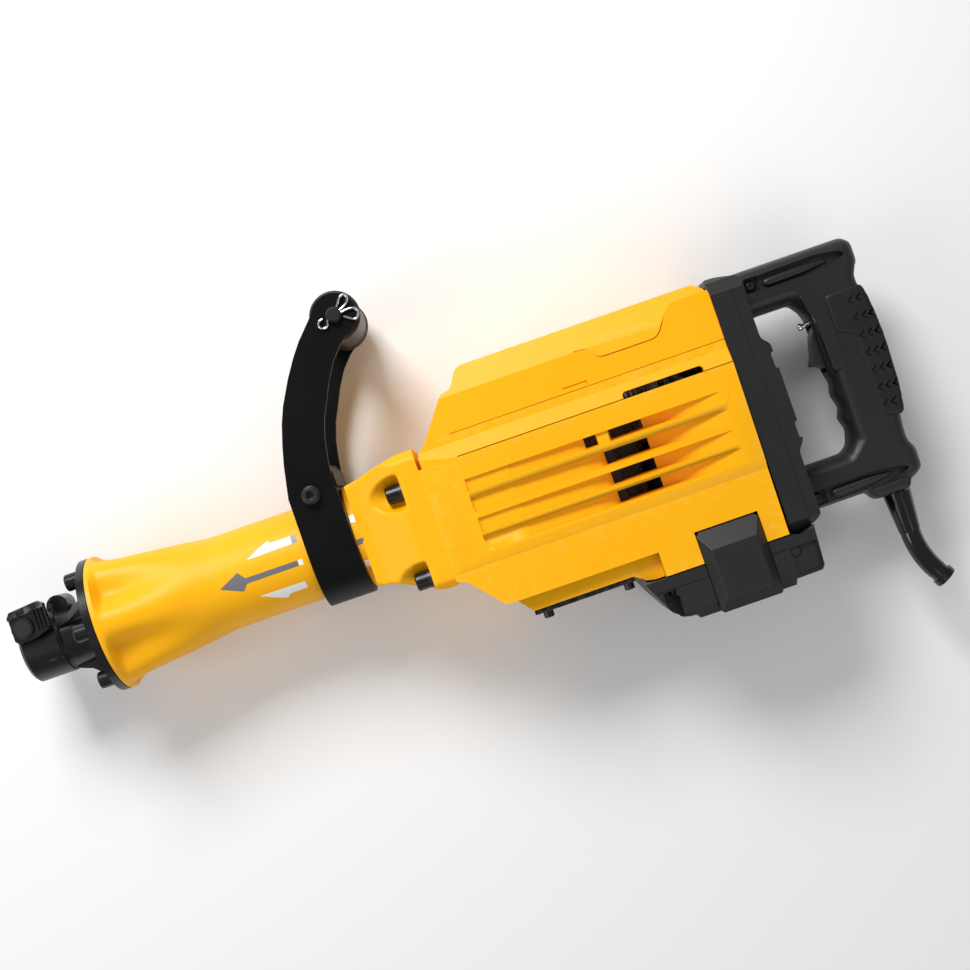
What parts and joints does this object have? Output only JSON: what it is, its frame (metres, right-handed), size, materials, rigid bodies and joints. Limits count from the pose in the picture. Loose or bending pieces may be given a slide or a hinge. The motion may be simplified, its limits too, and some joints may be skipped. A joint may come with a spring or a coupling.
{
  "type": "demolition hammer",
  "caption": "Electric demolition hammer: fluted barrel with hexagon tool socket, swivelling strap side handle, louvred motor housing, D-shaped rear handle with trigger and cord guard.",
  "frame": {"origin": "on the barrel axis at the mouth of the tool socket", "axes": "+X along the barrel from the socket to the rear handle, +Y towards the side handle and the top cover, +Z out of the near flank; the hammer lies on its far flank"},
  "size_m": [0.725, 0.377, 0.127],
  "materials": {
    "yellow_paint": "satin powder coat",
    "black_cast": "satin black coat",
    "grey_plastic": "fine-grained moulding",
    "black_rubber": "matt",
    "machined_steel": "machined",
    "aluminium_casting": "as cast",
    "lamination": "varnished",
    "copper": "varnished",
    "brass_sheet": "satin",
    "carbon": "matt",
    "nylon": "moulded",
    "chrome": "bright"
  },
  "bodies": {
    "hammer": {"cylinder_case": "yellow_paint", "front_cover": "black_cast", "front_gasket": "black_rubber", "front_cover_screws": "black_cast", "case_bolts": "black_cast", "case_bolt_washers": "machined_steel", "main_housing": "yellow_paint", "crank_case": "aluminium_casting", "gear_cover": "yellow_paint", "top_cover": "yellow_paint", "bottom_plate": "black_cast", "bottom_gasket": "black_rubber", "bottom_plate_bolts": "black_cast", "tail_cover": "grey_plastic", "tail_cover_screws": "machined_steel", "brush_cover_near": "grey_plastic", "brush_cover_far": "grey_plastic", "rear_plate": "grey_plastic", "rear_plate_screws": "machined_steel", "handle_near": "grey_plastic", "handle_far": "grey_plastic", "grip_cover": "black_rubber", "handle_screws": "machined_steel", "switch_body": "grey_plastic", "trigger_pin": "machined_steel", "cord_guard": "black_rubber", "cord_clamp": "grey_plastic", "stator_core": "lamination", "stator_windings": "copper", "brush_holders": "brass_sheet", "carbon_brushes": "carbon", "ball_bearings": "machined_steel", "cylinder_sleeve": "machined_steel", "hammer_holder": "machined_steel", "damper_ring": "black_rubber"},
    "side_handle": {"side_handle_strap": "black_cast", "strap_liner": "black_rubber", "clamp_saddle": "machined_steel", "clamp_screw": "black_cast", "clamp_nut": "black_cast", "roller_pin": "machined_steel", "split_pins": "chrome"},
    "roller": {"roller_grip": "black_rubber"},
    "tool_retainer": {"retainer_lever": "black_cast", "retainer_pin": "machined_steel"},
    "trigger": {"trigger": "grey_plastic"},
    "lock_button": {"lock_button": "chrome"},
    "armature": {"armature_shaft": "machined_steel", "armature_core": "lamination", "commutator": "copper", "cooling_fan": "nylon"},
    "idler": {"idler_gear": "machined_steel", "idler_shaft": "machined_steel"},
    "crank": {"crank_gear": "machined_steel", "crankshaft": "machined_steel"},
    "con_rod": {"con_rod": "machined_steel"},
    "piston": {"piston": "aluminium_casting", "wrist_pin_stubs": "machined_steel"},
    "striker": {"striker": "machined_steel"},
    "impact_bolt": {"impact_bolt": "machined_steel"}
  },
  "joints": [
    {"name": "side_handle_turn", "type": "hinge", "parent": "hammer", "child": "side_handle", "pos_m": [0.259, 0, 0], "axis": [1, 0, 0], "continuous": true},
    {"name": "roller_spin", "type": "hinge", "parent": "side_handle", "child": "roller", "pos_m": [0.3195, 0.1675, 0], "axis": [0, 0, 1], "continuous": true},
    {"name": "retainer_swing", "type": "hinge", "parent": "hammer", "child": "tool_retainer", "pos_m": [0.01, 0.018, 0], "axis": [0, 0, 1], "range_deg": [0, 90]},
    {"name": "trigger_pull", "type": "hinge", "parent": "hammer", "child": "trigger", "pos_m": [0.678, 0.036, 0], "axis": [0, 0, 1], "range_deg": [0, 9], "stiffness_Nm_per_rad": 1.5, "springref_deg": -8.59},
    {"name": "lock_button_press", "type": "slide", "parent": "hammer", "child": "lock_button", "axis": [1, 0, 0], "range_m": [0, 0.0035], "stiffness_N_per_m": 300, "springref_m": -0.002},
    {"name": "crank_spin", "type": "hinge", "parent": "hammer", "child": "crank", "pos_m": [0.431, 0.03, 0], "axis": [0, 1, 0], "continuous": true},
    {"name": "idler_spin", "type": "hinge", "parent": "hammer", "child": "idler", "pos_m": [0.497, 0.03, 0], "axis": [0, 1, 0], "continuous": true},
    {"name": "armature_spin", "type": "hinge", "parent": "hammer", "child": "armature", "pos_m": [0.551, -0.03, 0], "axis": [0, 1, 0], "continuous": true},
    {"name": "con_rod_turn", "type": "hinge", "parent": "crank", "child": "con_rod", "pos_m": [0.417, 0, 0], "axis": [0, 1, 0], "continuous": true},
    {"name": "piston_slide", "type": "slide", "parent": "hammer", "child": "piston", "axis": [1, 0, 0], "range_m": [0, 0.028]},
    {"name": "striker_slide", "type": "slide", "parent": "hammer", "child": "striker", "axis": [1, 0, 0], "range_m": [0, 0.014]},
    {"name": "impact_bolt_slide", "type": "slide", "parent": "hammer", "child": "impact_bolt", "axis": [1, 0, 0], "range_m": [-0.012, 0.012]}
  ],
  "couplings": [
    {"joint": "idler_spin", "follows": "crank_spin", "ratio": -2.6667},
    {"joint": "armature_spin", "follows": "crank_spin", "ratio": 13.333},
    {"joint": "con_rod_turn", "follows": "crank_spin", "ratio": -1}
  ]
}
